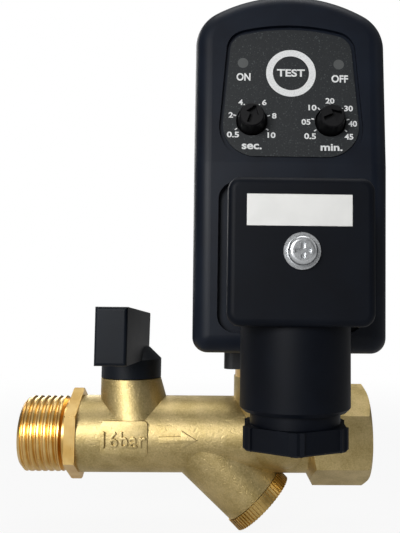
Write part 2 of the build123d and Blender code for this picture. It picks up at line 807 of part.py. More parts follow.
with BuildPart() as coil_housing:
    with BuildSketch(Plane.XY.offset(bonnet_top_z)):
        with Locations((coil_x, 0)):
            RectangleRounded(coil_width, coil_width, coil_corner_r)
    extrude(amount=coil_top_z - bonnet_top_z)
    fillet(coil_housing.edges().group_by(Axis.Z)[-1], coil_edge_r)
    with BuildSketch(Plane.XZ.offset(coil_width / 2)):
        with Locations((coil_x, plug_z)):
            RectangleRounded(coil_boss_size, coil_boss_size, coil_corner_r)
    extrude(amount=coil_boss_front - coil_width / 2)
    with BuildSketch(Plane.XY.offset(bonnet_top_z)):
        with Locations((coil_x, 0)):
            Circle(armature_tube_r + run_gap)
    extrude(amount=coil_top_z - bonnet_top_z, mode=Mode.SUBTRACT)
    with Locations((coil_x, 0, (yoke_bottom_z + yoke_top_z) / 2)):
        Box(
            yoke_width + 2 * fit_gap,
            yoke_depth + 2 * fit_gap,
            yoke_top_z - yoke_bottom_z + 2 * fit_gap,
            mode=Mode.SUBTRACT,
        )
    with BuildSketch(Plane.XZ.offset(coil_boss_front)):
        with Locations((coil_x, plug_z)):
            for side in (-1, 1):
                with Locations((side * blade_spacing / 2, 0)):
                    Rectangle(blade_thickness + 2 * fit_gap, blade_width + 2 * fit_gap)
            with Locations((0, -earth_drop)):
                Rectangle(blade_width + 2 * fit_gap, blade_thickness + 2 * fit_gap)
            Circle(plug_screw_r + run_gap)
    extrude(amount=-coil_socket_depth, mode=Mode.SUBTRACT)
finish(coil_housing.part, "coil_housing")

with BuildPart() as coil_yoke:
    with Locations((coil_x, 0, (yoke_bottom_z + yoke_top_z) / 2)):
        Box(yoke_width, yoke_depth, yoke_top_z - yoke_bottom_z)
        Box(
            yoke_width - 2 * yoke_thickness,
            yoke_depth,
            yoke_top_z - yoke_bottom_z - 2 * yoke_thickness,
            mode=Mode.SUBTRACT,
        )
    with BuildSketch(Plane.XY.offset(yoke_bottom_z)):
        with Locations((coil_x, 0)):
            Circle(armature_tube_r + run_gap)
    extrude(amount=yoke_top_z - yoke_bottom_z, mode=Mode.SUBTRACT)
finish(coil_yoke.part, "coil_yoke")

bobbin_bottom_z = yoke_bottom_z + yoke_thickness + fit_gap
bobbin_top_z = yoke_top_z - yoke_thickness - fit_gap
bobbin_tube_r = armature_tube_r + run_gap + bobbin_wall
with BuildPart() as coil_bobbin:
    for flange_z in (bobbin_bottom_z, bobbin_top_z - bobbin_flange_thickness):
        with BuildSketch(Plane.XY.offset(flange_z)):
            with Locations((coil_x, 0)):
                Circle(bobbin_flange_r)
        extrude(amount=bobbin_flange_thickness)
    with BuildSketch(Plane.XY.offset(bobbin_bottom_z)):
        with Locations((coil_x, 0)):
            Circle(bobbin_tube_r)
    extrude(amount=bobbin_top_z - bobbin_bottom_z)
    with BuildSketch(Plane.XY.offset(bobbin_bottom_z)):
        with Locations((coil_x, 0)):
            Circle(armature_tube_r + run_gap)
    extrude(amount=bobbin_top_z - bobbin_bottom_z, mode=Mode.SUBTRACT)
finish(coil_bobbin.part, "coil_bobbin")

with BuildPart() as coil_winding:
    with BuildSketch(Plane.XY.offset(bobbin_bottom_z + bobbin_flange_thickness + fit_gap)):
        with Locations((coil_x, 0)):
            Circle(winding_r)
            Circle(bobbin_tube_r + fit_gap, mode=Mode.SUBTRACT)
    extrude(amount=bobbin_top_z - bobbin_bottom_z - 2 * bobbin_flange_thickness - 2 * fit_gap)
finish(coil_winding.part, "coil_winding")

with BuildPart() as coil_washer:
    with BuildSketch(Plane.XY.offset(coil_top_z)):
        with Locations((coil_x, 0)):
            Circle(coil_washer_r)
            Circle(armature_tube_r + run_gap, mode=Mode.SUBTRACT)
    extrude(amount=coil_washer_thickness)
finish(coil_washer.part, "coil_washer")

with BuildPart() as coil_nut:
    with BuildSketch(Plane.XY.offset(coil_top_z + coil_washer_thickness)):
        with Locations((coil_x, 0)):
            RegularPolygon(across_flats_r(coil_nut_af), 6)
            Circle(core_stud_r + fit_gap, mode=Mode.SUBTRACT)
    extrude(amount=coil_nut_height)
finish(coil_nut.part, "coil_nut")

# ======== timer ========

def case_outline(inset):
    """Front outline of the case, arched on top and wider there, pulled in on all sides."""
    arch_start_z = case_top_z - case_arch_r + sqrt(case_arch_r**2 - case_half_width**2)
    with BuildSketch(mode=Mode.PRIVATE) as outline:
        with BuildLine():
            Polyline(
                (-case_half_width, arch_start_z),
                (-case_bottom_half_width, case_bottom_z),
                (case_bottom_half_width, case_bottom_z),
                (case_half_width, arch_start_z),
            )
            RadiusArc((case_half_width, arch_start_z), (-case_half_width, arch_start_z), -case_arch_r)
        make_face()
        fillet(outline.vertices().group_by(Axis.Y)[-1], case_shoulder_r)
        if inset:
            offset(amount=-inset, kind=Kind.INTERSECTION)
    return outline.sketch


def panel_outline(inset, lift):
    """Outline of the control panel on the sloping face, pulled in and with its bottom lifted."""
    bottom = panel_bottom_half_width
    bottom_s = panel_bottom_s + lift
    shoulder = panel_shoulder_half_width
    with BuildSketch(mode=Mode.PRIVATE) as outline:
        with BuildLine():
            Polyline(
                (-shoulder, panel_shoulder_s),
                (-bottom, bottom_s),
                (bottom, bottom_s),
                (shoulder, panel_shoulder_s),
            )
            ThreePointArc((shoulder, panel_shoulder_s), (0, panel_top_s), (-shoulder, panel_shoulder_s))
        make_face()
        fillet(outline.vertices().group_by(Axis.Y)[0], panel_bottom_corner_r)
        fillet(outline.vertices().group_by(Axis.Y)[-1], panel_top_corner_r)
        if inset:
            offset(amount=-inset, kind=Kind.INTERSECTION)
    return outline.sketch


def blade_sketch(clearance):
    """Two line blades and the earth blade of the plugs, about the plug's centre."""
    with BuildSketch(mode=Mode.PRIVATE) as blades:
        with Locations((-blade_spacing / 2, 0), (blade_spacing / 2, 0)):
            Rectangle(blade_thickness + 2 * clearance, blade_width + 2 * clearance)
        with Locations((0, -earth_drop)):
            Rectangle(blade_width + 2 * clearance, blade_thickness + 2 * clearance)
    return blades.sketch


def front_plane(distance):
    """Upright plane at a distance in front of the solenoid axis, centred on the coil in x."""
    return Plane(origin=(coil_x, -distance, 0), x_dir=(1, 0, 0), z_dir=(0, -1, 0))


def plug_plane(distance):
    """The same plane, centred on the plugs."""
    return Plane(origin=(coil_x, -distance, plug_z), x_dir=(1, 0, 0), z_dir=(0, -1, 0))


def panel_spot(across, up, angle):
    """Plane at a spot on the control panel, turned anticlockwise by an angle as seen from the front."""
    turn = radians(angle)
    return Plane(
        origin=panel_plane.from_local_coords((across, up, 0)),
        x_dir=panel_plane.x_dir * cos(turn) + panel_plane.y_dir * sin(turn),
        z_dir=panel_plane.z_dir,
    )


cover_screw_places = [(side * cover_screw_x, z) for side in (-1, 1) for z in cover_screw_z]

# inside of the case, down to the wall behind the panel
with BuildPart() as case_cavity:
    with BuildSketch(front_plane(case_back)):
        add(case_outline(case_wall))
    extrude(amount=case_front_inside - case_back)
    split(bisect_by=panel_plane.offset(panel_inside), keep=Keep.BOTTOM)
    with BuildSketch(front_plane(case_back + back_cover_thickness)):
        with Locations(*cover_screw_places):
            Circle(cover_screw_boss_r)
    extrude(amount=case_front_inside - case_back, mode=Mode.SUBTRACT)

with BuildPart() as timer_case:
    with BuildSketch(front_plane(case_back)):
        add(case_outline(0))
    extrude(amount=case_front - case_back)
    split(bisect_by=panel_plane, keep=Keep.BOTTOM)
    front_faces = timer_case.faces().filter_by(lambda face: face.normal_at().Y < -0.9)
    across_edges = front_faces.edges().filter_by(Axis.X)
    rim_edges = front_faces.edges() - across_edges.filter_by_position(Axis.Z, slope_z - 0.1, slope_z + 0.1)
    fillet(rim_edges, case_edge_r)
    fillet(timer_case.edges().filter_by(Axis.Y).group_by(Axis.Z)[0], case_corner_r)
    # pocket that the cable connector and its gasket sit in
    with BuildSketch(front_plane(case_front)):
        with Locations((0, (pocket_bottom_z + pocket_top_z) / 2)):
            RectangleRounded(pocket_width, pocket_top_z - pocket_bottom_z, pocket_corner_r)
    extrude(amount=-pocket_depth, mode=Mode.SUBTRACT)
    # sunk control panel
    with BuildSketch(panel_plane):
        add(panel_outline(0, 0))
    extrude(amount=-panel_recess, mode=Mode.SUBTRACT)
    add(case_cavity.part, mode=Mode.SUBTRACT)
    # openings for the dials, the button and the two lamps
    with BuildSketch(panel_plane):
        with Locations((-dial_half_spacing, dial_s), (dial_half_spacing, dial_s)):
            Circle(dial_hole_r)
        with Locations((0, button_s)):
            Circle(button_r + run_gap)
        with Locations((-led_half_spacing, led_s), (led_half_spacing, led_s)):
            Circle(led_window_r)
    extrude(amount=case_front_inside - case_front, mode=Mode.SUBTRACT)
    # blade slots and the screw tube through the plug
    with BuildSketch(plug_plane(case_back + back_cover_thickness + fit_gap)):
        Circle(plug_tube_r)
    extrude(amount=case_front_inside - case_back - back_cover_thickness)
    with BuildSketch(plug_plane(case_front)):
        add(blade_sketch(fit_gap))
        Circle(plug_screw_r + run_gap)
    extrude(amount=case_back - case_front, mode=Mode.SUBTRACT)
    # pilot holes of the cover screws
    with BuildSketch(front_plane(case_back + back_cover_thickness)):
        with Locations(*cover_screw_places):
            Circle(cover_screw_r + fit_gap)
    extrude(amount=cover_screw_length, mode=Mode.SUBTRACT)
finish(timer_case.part, "timer_case")

# flat cover that closes the back of the case, with slots for the coil's blades
with BuildPart() as timer_back:
    with BuildSketch(front_plane(case_back)):
        add(case_outline(case_wall + run_gap))
    extrude(amount=back_cover_thickness)
    with BuildSketch(plug_plane(case_back)):
        add(blade_sketch(fit_gap))
        Circle(plug_screw_r + run_gap)
    extrude(amount=back_cover_thickness, mode=Mode.SUBTRACT)
    with BuildSketch(front_plane(case_back)):
        with Locations(*cover_screw_places):
            Circle(cover_screw_r + run_gap)
    extrude(amount=back_cover_thickness, mode=Mode.SUBTRACT)
    with BuildSketch(front_plane(case_back)):
        with Locations(*cover_screw_places):
            Circle(cover_screw_head_r + run_gap)
    extrude(amount=back_cover_thickness / 2, mode=Mode.SUBTRACT)
finish(timer_back.part, "timer_back")

with BuildPart() as timer_back_screws:
    with BuildSketch(front_plane(case_back)):
        with Locations(*cover_screw_places):
            Circle(cover_screw_head_r)
    extrude(amount=back_cover_thickness / 2)
    with BuildSketch(front_plane(case_back)):
        with Locations(*cover_screw_places):
            Circle(cover_screw_r)
    extrude(amount=back_cover_thickness + cover_screw_length - fit_gap)
    with BuildSketch(front_plane(case_back)):
        with Locations(*cover_screw_places):
            Rectangle(screw_recess_width / 2, cover_screw_head_r * 1.2)
            Rectangle(cover_screw_head_r * 1.2, screw_recess_width / 2)
    extrude(amount=back_cover_thickness / 4, mode=Mode.SUBTRACT)
finish(timer_back_screws.part, "timer_back_screws")

with BuildPart() as panel_label:
    with BuildSketch(panel_plane.offset(recess_floor)):
        add(panel_outline(label_groove, label_bottom_lift))
        with Locations((-dial_half_spacing, dial_s), (dial_half_spacing, dial_s)):
            Circle(dial_hole_r, mode=Mode.SUBTRACT)
        with Locations((0, button_s)):
            Circle(button_r + run_gap, mode=Mode.SUBTRACT)
    extrude(amount=label_thickness)
finish(panel_label.part, "panel_label")

with BuildPart() as circuit_board:
    with BuildSketch(panel_plane.offset(board_top)):
        with Locations((0, (board_s[0] + board_s[1]) / 2)):
            Rectangle(2 * board_half_width, board_s[1] - board_s[0])
    extrude(amount=-board_thickness)
finish(circuit_board.part, "circuit_board")

# relay, capacitor and transformer on the back of the board
with BuildPart() as board_components:
    with BuildSketch(panel_plane.offset(board_top - board_thickness)):
        with Locations(relay_spot):
            Rectangle(relay_size[0], relay_size[1])
    extrude(amount=-relay_size[2])
    with BuildSketch(panel_plane.offset(board_top - board_thickness)):
        with Locations(capacitor_spot):
            Circle(capacitor_r)
    extrude(amount=-capacitor_height)
    with BuildSketch(panel_plane.offset(board_top - board_thickness)):
        with Locations(transformer_spot):
            Rectangle(transformer_size[0], transformer_size[1])
    extrude(amount=-transformer_size[2])
finish(board_components.part, "board_components")

for name, side in (("sec_potentiometer", -1), ("min_potentiometer", 1)):
    with BuildPart() as potentiometer:
        with BuildSketch(panel_plane.offset(board_top)):
            with Locations((side * dial_half_spacing, dial_s)):
                Rectangle(potentiometer_size, potentiometer_size)
        extrude(amount=board_standoff - knob_flange_height - knob_collar_room)
    finish(potentiometer.part, name)

# dial shafts: a collar under the panel, and an arrow-shaped slot in the top
knob_bottom = panel_inside - knob_flange_height - knob_collar_room + run_gap
for name, side, pointer_angle in (
    ("sec_knob", -1, sec_pointer_angle),
    ("min_knob", 1, min_pointer_angle),
):
    dial_plane = panel_spot(side * dial_half_spacing, dial_s, pointer_angle)
    with BuildPart() as knob:
        with BuildSketch(dial_plane.offset(knob_bottom)):
            Circle(knob_collar_r)
        extrude(amount=knob_flange_height)
        with BuildSketch(dial_plane.offset(knob_bottom)):
            Circle(knob_r)
        extrude(amount=label_top - knob_bottom)
        with BuildSketch(dial_plane.offset(label_top)):
            Circle(knob_r)
        with BuildSketch(dial_plane.offset(label_top + knob_stand)):
            Circle(knob_top_r)
        loft()
        chamfer(knob.faces().sort_by(Axis(dial_plane.origin, dial_plane.z_dir))[-1].edges(), knob_chamfer)
        with BuildSketch(dial_plane.offset(label_top + knob_stand)):
            Rectangle(knob_slot_width, 1.5 * knob_top_r)
            with BuildLine():
                Polyline(
                    (0, 0.85 * knob_top_r),
                    (0.55 * knob_top_r, 0.1 * knob_top_r),
                    (-0.55 * knob_top_r, 0.1 * knob_top_r),
                    close=True,
                )
            make_face()
        extrude(amount=-knob_slot_depth, mode=Mode.SUBTRACT)
    finish(knob.part, name)

# round test button with a collar that keeps it behind the panel
with BuildPart() as test_button:
    button_plane = panel_spot(0, button_s, 0)
    with BuildSketch(button_plane.offset(label_top)):
        Circle(button_r)
    extrude(amount=panel_inside - run_gap - label_top)
    with BuildSketch(button_plane.offset(panel_inside - run_gap)):
        Circle(button_r + button_collar)
    extrude(amount=-button_collar)
    with BuildSketch(button_plane.offset(panel_inside - run_gap)):
        Circle(button_stem_r)
    extrude(amount=board_top + switch_height + button_travel + run_gap - panel_inside + run_gap)
finish(test_button.part, "test_button")

with BuildPart() as test_switch:
    with BuildSketch(panel_plane.offset(board_top)):
        with Locations((0, button_s)):
            Rectangle(switch_size, switch_size)
    extrude(amount=switch_height)
finish(test_switch.part, "test_switch")

for name, side in (("on_lamp", -1), ("off_lamp", 1)):
    with BuildPart() as lamp:
        with BuildSketch(panel_plane.offset(board_top)):
            with Locations((side * led_half_spacing, led_s)):
                Circle(led_r)
        extrude(amount=board_standoff - free_gap)
        fillet(lamp.faces().sort_by(Axis(panel_plane.origin, panel_plane.z_dir))[-1].edges(), led_r * 0.9)
    finish(lamp.part, name)

# blades of the coil and of the timer
with BuildPart() as coil_blades:
    with BuildSketch(plug_plane(coil_boss_front - coil_socket_depth + fit_gap)):
        add(blade_sketch(0))
    extrude(amount=coil_blade_front - coil_boss_front + coil_socket_depth)
finish(coil_blades.part, "coil_blades")

with BuildPart() as timer_blades:
    with BuildSketch(plug_plane(case_front_inside - timer_blade_inside)):
        add(blade_sketch(0))
    extrude(amount=timer_blade_inside + timer_blade_outside)
finish(timer_blades.part, "timer_blades")

# soft gaskets on both sides of the timer
for name, front in (("coil_gasket", coil_boss_front), ("connector_gasket", plug_gap_front)):
    with BuildPart() as gasket:
        with BuildSketch(plug_plane(front)):
            RectangleRounded(gasket_size, gasket_size, coil_corner_r)
            RectangleRounded(gasket_window, gasket_window, coil_corner_r, mode=Mode.SUBTRACT)
        extrude(amount=plug_gasket_thickness)
    finish(gasket.part, name)

# ======== cable connector ========

# square housing with a hanging neck for the cable gland
with BuildPart() as connector_housing:
    with BuildSketch(plug_plane(connector_back)):
        RectangleRounded(connector_width, connector_height, connector_corner_r)
    extrude(amount=connector_front - connector_back)
    fillet(connector_housing.faces().sort_by(Axis.Y)[0].edges(), connector_edge_r)
    with BuildSketch(Plane.XY.offset(neck_shoulder_z)):
        with Locations((coil_x, -neck_front)):
            Circle(neck_r)
    extrude(amount=plug_z - connector_height / 2 + connector_wall - neck_shoulder_z)
    chamfer(connector_housing.edges().group_by(Axis.Z)[0], neck_chamfer)
    with BuildSketch(Plane.XY.offset(neck_shoulder_z)):
        with Locations((coil_x, -neck_front)):
            Circle(gland_thread_r)
    extrude(amount=gland_thread_bottom_z - neck_shoulder_z)
    # room for the terminal block, and the cable's way down through the neck
    with BuildSketch(plug_plane(connector_back)):
        Rectangle(connector_width - 2 * connector_wall, connector_height - 2 * connector_wall)
    extrude(amount=connector_front - connector_wall - connector_back, mode=Mode.SUBTRACT)
    with BuildSketch(Plane.XY.offset(gland_seal_z[1])):
        with Locations((coil_x, -neck_front)):
            Circle(gland_seal_r - gland_ledge)
    extrude(amount=plug_z - gland_seal_z[1], mode=Mode.SUBTRACT)
    with BuildSketch(Plane.XY.offset(gland_thread_bottom_z)):
        with Locations((coil_x, -neck_front)):
            Circle(gland_seal_r + fit_gap)
    extrude(amount=gland_seal_z[1] - gland_thread_bottom_z, mode=Mode.SUBTRACT)
    with BuildSketch(plug_plane(connector_front)):
        Circle(plug_screw_r + run_gap)
    extrude(amount=-2 * connector_wall, mode=Mode.SUBTRACT)
finish(connector_housing.part, "connector_housing")

# terminal block that fills the back of the housing
with BuildPart() as terminal_block:
    with BuildSketch(plug_plane(connector_back)):
        Rectangle(
            connector_width - 2 * connector_wall - 2 * run_gap,
            connector_height - 2 * connector_wall - 2 * run_gap,
        )
    extrude(amount=terminal_block_depth)
    with BuildSketch(plug_plane(connector_back)):
        with Locations((-blade_spacing / 2, 0), (blade_spacing / 2, 0)):
            Rectangle(contact_width[0] + 2 * fit_gap, contact_width[1] + 2 * fit_gap)
        with Locations((0, -earth_drop)):
            Rectangle(contact_width[1] + 2 * fit_gap, contact_width[0] + 2 * fit_gap)
        Circle(plug_screw_r + run_gap)
    extrude(amount=terminal_block_depth, mode=Mode.SUBTRACT)
finish(terminal_block.part, "terminal_block")

# brass sleeves in the terminal block that grip the blades
with BuildPart() as connector_contacts:
    with BuildSketch(plug_plane(connector_back + fit_gap)):
        with Locations((-blade_spacing / 2, 0), (blade_spacing / 2, 0)):
            Rectangle(*contact_width)
        with Locations((0, -earth_drop)):
            Rectangle(contact_width[1], contact_width[0])
    extrude(amount=terminal_block_depth - 2 * fit_gap)
    with BuildSketch(plug_plane(connector_back)):
        add(blade_sketch(fit_gap))
    extrude(amount=timer_blade_outside, mode=Mode.SUBTRACT)
finish(connector_contacts.part, "connector_contacts")

with BuildPart() as connector_washer:
    with BuildSketch(plug_plane(connector_front)):
        Circle(washer_r)
        Circle(plug_screw_r + run_gap, mode=Mode.SUBTRACT)
    extrude(amount=washer_thickness)
finish(connector_washer.part, "connector_washer")

# long screw that clamps the connector and the timer to the coil
connector_screw = pan_screw(
    plug_plane(connector_front + washer_thickness),
    screw_head_r,
    screw_head_height,
    plug_screw_r,
    connector_front + washer_thickness - coil_boss_front + coil_socket_depth - free_gap,
    screw_recess_width,
)
finish(connector_screw, "connector_screw")

with BuildPart() as gland_seal:
    with BuildSketch(Plane.XY.offset(gland_seal_z[0])):
        with Locations((coil_x, -neck_front)):
            Circle(gland_seal_r)
            Circle(gland_seal_bore_r, mode=Mode.SUBTRACT)
    extrude(amount=gland_seal_z[1] - gland_seal_z[0])
finish(gland_seal.part, "gland_seal")

with BuildPart() as gland_ring:
    with BuildSketch(Plane.XY.offset(gland_ring_z[0])):
        with Locations((coil_x, -neck_front)):
            Circle(gland_thread_r - fit_gap)
            Circle(gland_opening_r - free_gap, mode=Mode.SUBTRACT)
    extrude(amount=gland_ring_z[1] - gland_ring_z[0])
finish(gland_ring.part, "gland_ring")

# gland nut: hexagon with a raised rib over each corner
with BuildPart() as gland_nut:
    with BuildSketch(Plane.XY.offset(gland_nut_bottom_z)):
        with Locations(Location((coil_x, -neck_front), -90 - gland_turn_angle)):
            RegularPolygon(across_flats_r(gland_nut_af), 6)
            with PolarLocations(gland_rib_r / 2, 6):
                Rectangle(gland_rib_r, gland_rib_width)
    extrude(amount=gland_nut_top_z - gland_nut_bottom_z)
    chamfer(gland_nut.faces().sort_by(Axis.Z)[0].edges(), gland_nut_chamfer)
    with BuildSketch(Plane.XY.offset(gland_ring_z[0])):
        with Locations((coil_x, -neck_front)):
            Circle(gland_thread_r + fit_gap)
    extrude(amount=gland_nut_top_z - gland_ring_z[0], mode=Mode.SUBTRACT)
    with BuildSketch(Plane.XY.offset(gland_nut_bottom_z)):
        with Locations((coil_x, -neck_front)):
            Circle(gland_opening_r)
    extrude(amount=gland_ring_z[0] - gland_nut_bottom_z, mode=Mode.SUBTRACT)
finish(gland_nut.part, "gland_nut")
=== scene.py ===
from math import cos, pi, radians, sin

import bpy
from mathutils import Matrix, Vector


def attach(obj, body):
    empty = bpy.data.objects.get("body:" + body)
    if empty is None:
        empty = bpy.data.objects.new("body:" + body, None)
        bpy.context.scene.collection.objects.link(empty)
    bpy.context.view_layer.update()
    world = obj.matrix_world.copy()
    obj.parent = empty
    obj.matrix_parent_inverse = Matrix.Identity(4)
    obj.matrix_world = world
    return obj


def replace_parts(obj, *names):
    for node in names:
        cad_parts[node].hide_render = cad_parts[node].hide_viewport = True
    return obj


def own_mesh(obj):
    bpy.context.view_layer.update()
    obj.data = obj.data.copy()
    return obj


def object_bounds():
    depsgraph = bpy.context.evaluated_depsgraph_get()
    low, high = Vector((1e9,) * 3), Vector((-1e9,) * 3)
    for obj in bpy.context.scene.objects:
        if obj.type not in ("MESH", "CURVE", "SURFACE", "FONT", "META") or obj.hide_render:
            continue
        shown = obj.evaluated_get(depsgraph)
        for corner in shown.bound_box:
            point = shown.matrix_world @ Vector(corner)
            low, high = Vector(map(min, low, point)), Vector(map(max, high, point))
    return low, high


mm = 0.001

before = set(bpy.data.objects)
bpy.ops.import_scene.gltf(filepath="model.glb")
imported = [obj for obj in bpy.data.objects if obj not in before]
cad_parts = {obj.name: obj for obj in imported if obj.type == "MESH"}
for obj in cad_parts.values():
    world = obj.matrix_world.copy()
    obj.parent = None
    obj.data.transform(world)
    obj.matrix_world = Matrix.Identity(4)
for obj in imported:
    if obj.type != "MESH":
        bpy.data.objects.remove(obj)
cadBox = [list(corner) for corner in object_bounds()]
bpy.ops.object.select_all(action="DESELECT")
print("model loaded")


def only(piece):
    if bpy.context.object and bpy.context.object.mode != "OBJECT":
        bpy.ops.object.mode_set(mode="OBJECT")
    bpy.ops.object.select_all(action="DESELECT")
    piece.select_set(True)
    bpy.context.view_layer.objects.active = piece


def edit(piece, kind="FACE", everything=False):
    only(piece)
    bpy.ops.object.mode_set(mode="EDIT")
    bpy.ops.mesh.select_mode(type=kind)
    bpy.ops.mesh.select_all(action="SELECT" if everything else "DESELECT")


def leave():
    bpy.ops.object.mode_set(mode="OBJECT")


def choose(piece, test):
    # leaves the piece in edit mode, with the faces selected whose centre and normal pass the test
    edit(piece)
    leave()
    for face in piece.data.polygons:
        face.select = test(face.center, face.normal)
    bpy.ops.object.mode_set(mode="EDIT")


def named(name):
    piece = bpy.context.object
    piece.name = name
    piece.data.name = name
    return piece


def settle(piece):
    # puts the object's place and turn into its mesh
    only(piece)
    bpy.ops.object.transform_apply(location=True, rotation=True, scale=True)
    return piece


def place(piece, matrix):
    piece.matrix_world = matrix @ piece.matrix_world
    return settle(piece)


def shift(x, y, z):
    # a move in millimetres
    return Matrix.Translation(Vector((x, y, z)) * mm)


def turn(degrees, axis):
    return Matrix.Rotation(radians(degrees), 4, axis)


def clean(piece):
    edit(piece, everything=True)
    bpy.ops.mesh.remove_doubles(threshold=0.002 * mm)
    bpy.ops.mesh.normals_make_consistent(inside=False)
    leave()
    return piece


def smooth(piece, angle=35):
    only(piece)
    bpy.ops.object.shade_smooth_by_angle(angle=radians(angle))
    return piece


def drawLine(name, points, closed=False):
    # a chain of edges, drawn by extruding one corner from point to point, in millimetres
    bpy.ops.mesh.primitive_plane_add(size=mm)
    piece = named(name)
    edit(piece, "VERT", everything=True)
    bpy.ops.mesh.merge(type="CENTER")
    spots = [Vector(point) * mm for point in points]
    bpy.ops.transform.translate(value=spots[0])
    if closed:
        spots.append(spots[0])
    for start, end in zip(spots, spots[1:]):
        bpy.ops.mesh.extrude_region_move(TRANSFORM_OT_translate={"value": end - start})
    leave()
    return piece


def lathe(name, points, axis, steps=64, centre=(0, 0, 0)):
    piece = drawLine(name, points, closed=True)
    edit(piece, "VERT", everything=True)
    bpy.ops.mesh.spin(steps=steps, angle=2 * pi, center=Vector(centre) * mm, axis=axis)
    leave()
    return clean(piece)


def setWord(name, words, letters, width, height):
    # thick letters, centred and scaled to this width and height
    bpy.ops.object.text_add()
    piece = named(name)
    piece.data.body = words
    for setting, value in letters.items():
        setattr(piece.data, setting, value)
    only(piece)
    bpy.ops.object.convert(target="MESH")
    piece = bpy.context.object
    bpy.ops.object.origin_set(type="ORIGIN_GEOMETRY", center="BOUNDS")
    piece.location = (0, 0, 0)
    piece.scale = (width * mm / piece.dimensions.x, height * mm / piece.dimensions.y, 1)
    return settle(piece)


def modify(piece, kind, **settings):
    only(piece)
    change = piece.modifiers.new(kind.title(), kind)
    for name, value in settings.items():
        setattr(change, name, value)
    bpy.ops.object.modifier_apply(modifier=change.name)
    return piece


def bevel(piece, width, segments, angle=30):
    return modify(
        piece, "BEVEL", width=width * mm, segments=segments, limit_method="ANGLE", angle_limit=radians(angle),
    )


def wind(piece, axis, pitch, turns, steps):
    return modify(
        piece, "SCREW", axis=axis, angle=2 * pi, screw_offset=pitch * mm, iterations=turns,
        steps=steps, render_steps=steps, use_merge_vertices=False,
    )


def combine(piece, tool, operation, islands=False):
    # islands: the piece is made of several separate lumps
    modify(piece, "BOOLEAN", operation=operation, object=tool, solver="EXACT", use_self=islands)
    bpy.data.objects.remove(tool)
    return piece


def join(name, pieces):
    only(pieces[0])
    for piece in pieces:
        piece.select_set(True)
    if len(pieces) > 1:
        bpy.ops.object.join()
    return named(name)


def dress(piece, finish, body):
    piece.data.materials.clear()
    piece.data.materials.append(finishes[finish])
    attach(piece, body)
    return piece


cameraView = {
    "spot": (47.03, -202.4, 38.66),
    "pitch": 4.46,
    "roll": -0.56,
    "yaw": -1.25,
    "lens": 46.51,
    "shiftX": -0.1012,
    "shiftY": -0.0390,
}

bpy.ops.object.camera_add()
camera = bpy.context.object
camera.name = "camera"
camera.matrix_world = (
    shift(*cameraView["spot"])
    @ turn(cameraView["yaw"], "Z")
    @ turn(cameraView["pitch"], "X")
    @ turn(cameraView["roll"], "Y")
    @ turn(90, "X")
)
camera.data.sensor_width = 36
camera.data.lens = cameraView["lens"]
camera.data.shift_x = cameraView["shiftX"]
camera.data.shift_y = cameraView["shiftY"]
camera.data.clip_start = 0.005
camera.data.clip_end = 20
bpy.context.scene.camera = camera
bpy.context.scene.view_settings.view_transform = "Standard"

# metres and watts
lamps = {
    "keyLight": {"spot": (-0.30, -0.78, 0.25), "size": (0.36, 0.32), "power": 5.5},
    "fillLight": {"spot": (0.66, -0.30, 0.30), "size": (0.22, 0.45), "power": 0.22},
    "topLight": {"spot": (0.05, 0.02, 0.72), "size": (0.5, 0.3), "power": 1.5},
    "backLight": {"spot": (-0.3, 0.6, 0.30), "size": (0.45, 0.4), "power": 2.4},
}
aim = Vector((45, -20, 30)) * mm
for name, lamp in lamps.items():
    bpy.ops.object.light_add(type="AREA", location=lamp["spot"])
    light = bpy.context.object
    light.name = name
    light.data.shape = "RECTANGLE"
    light.data.size, light.data.size_y = lamp["size"]
    light.data.energy = lamp["power"]
    light.rotation_euler = (Vector(lamp["spot"]) - aim).to_track_quat("Z", "Y").to_euler()
print("camera and lights set")


class Flow:
    # a node socket that can be added, multiplied and passed on
    def __init__(self, tree, socket=None):
        self.tree = tree
        self.socket = socket

    def node(self, kind, settings=None, inputs=None, output=0):
        made = self.tree.nodes.new("ShaderNode" + kind)
        for name, value in (settings or {}).items():
            setattr(made, name, value)
        for name, value in (inputs or {}).items():
            if isinstance(value, Flow):
                self.tree.links.new(value.socket, made.inputs[name])
            else:
                made.inputs[name].default_value = value
        return Flow(self.tree, made.outputs[output])

    def math(self, operation, *others):
        values = dict(enumerate((self, *others)))
        return self.node("Math", {"operation": operation}, values)

    def __add__(self, other):
        return self.math("ADD", other)

    def __radd__(self, other):
        return self.math("ADD", other)

    def __sub__(self, other):
        return self.math("SUBTRACT", other)

    def __mul__(self, other):
        return self.math("MULTIPLY", other)

    def rise(self, low, high):
        # 0 below low, 1 above high, smooth between them
        return self.node(
            "MapRange",
            {"interpolation_type": "SMOOTHSTEP", "clamp": True},
            {"Value": self, "From Min": low, "From Max": high},
        )

    def blend(self, dark, light):
        # a colour between two others, by this value
        return self.node("Mix", {"data_type": "RGBA"}, {0: self, 6: (*dark, 1), 7: (*light, 1)}, output=2)


def objectPoint(tree):
    # the object's coordinates, in millimetres
    spot = Flow(tree).node("TexCoord", output=3)
    return spot.node("VectorMath", {"operation": "SCALE"}, {0: spot, "Scale": 1 / mm})


def makeFinish(name, pattern, constants):
    # the pattern gets the object's coordinates and returns what varies over the surface
    material = bpy.data.materials.new(name)
    material.use_nodes = True
    tree = material.node_tree
    shader = tree.nodes["Principled BSDF"]
    for socket, value in constants.items():
        shader.inputs[socket].default_value = value
    for socket, value in pattern(objectPoint(tree)).items():
        tree.links.new(value.socket, shader.inputs[socket])
    return material


def noise(spot, size, detail=2, roughness=0.5):
    # soft spots of about this size in millimetres
    return spot.node(
        "TexNoise", None,
        {"Vector": spot, "Scale": 1 / size, "Detail": detail, "Roughness": roughness},
    )


def bump(height, depth):
    # depth in millimetres for a height from 0 to 1
    return height.node("Bump", None, {"Height": height, "Strength": 1.0, "Distance": depth * mm})


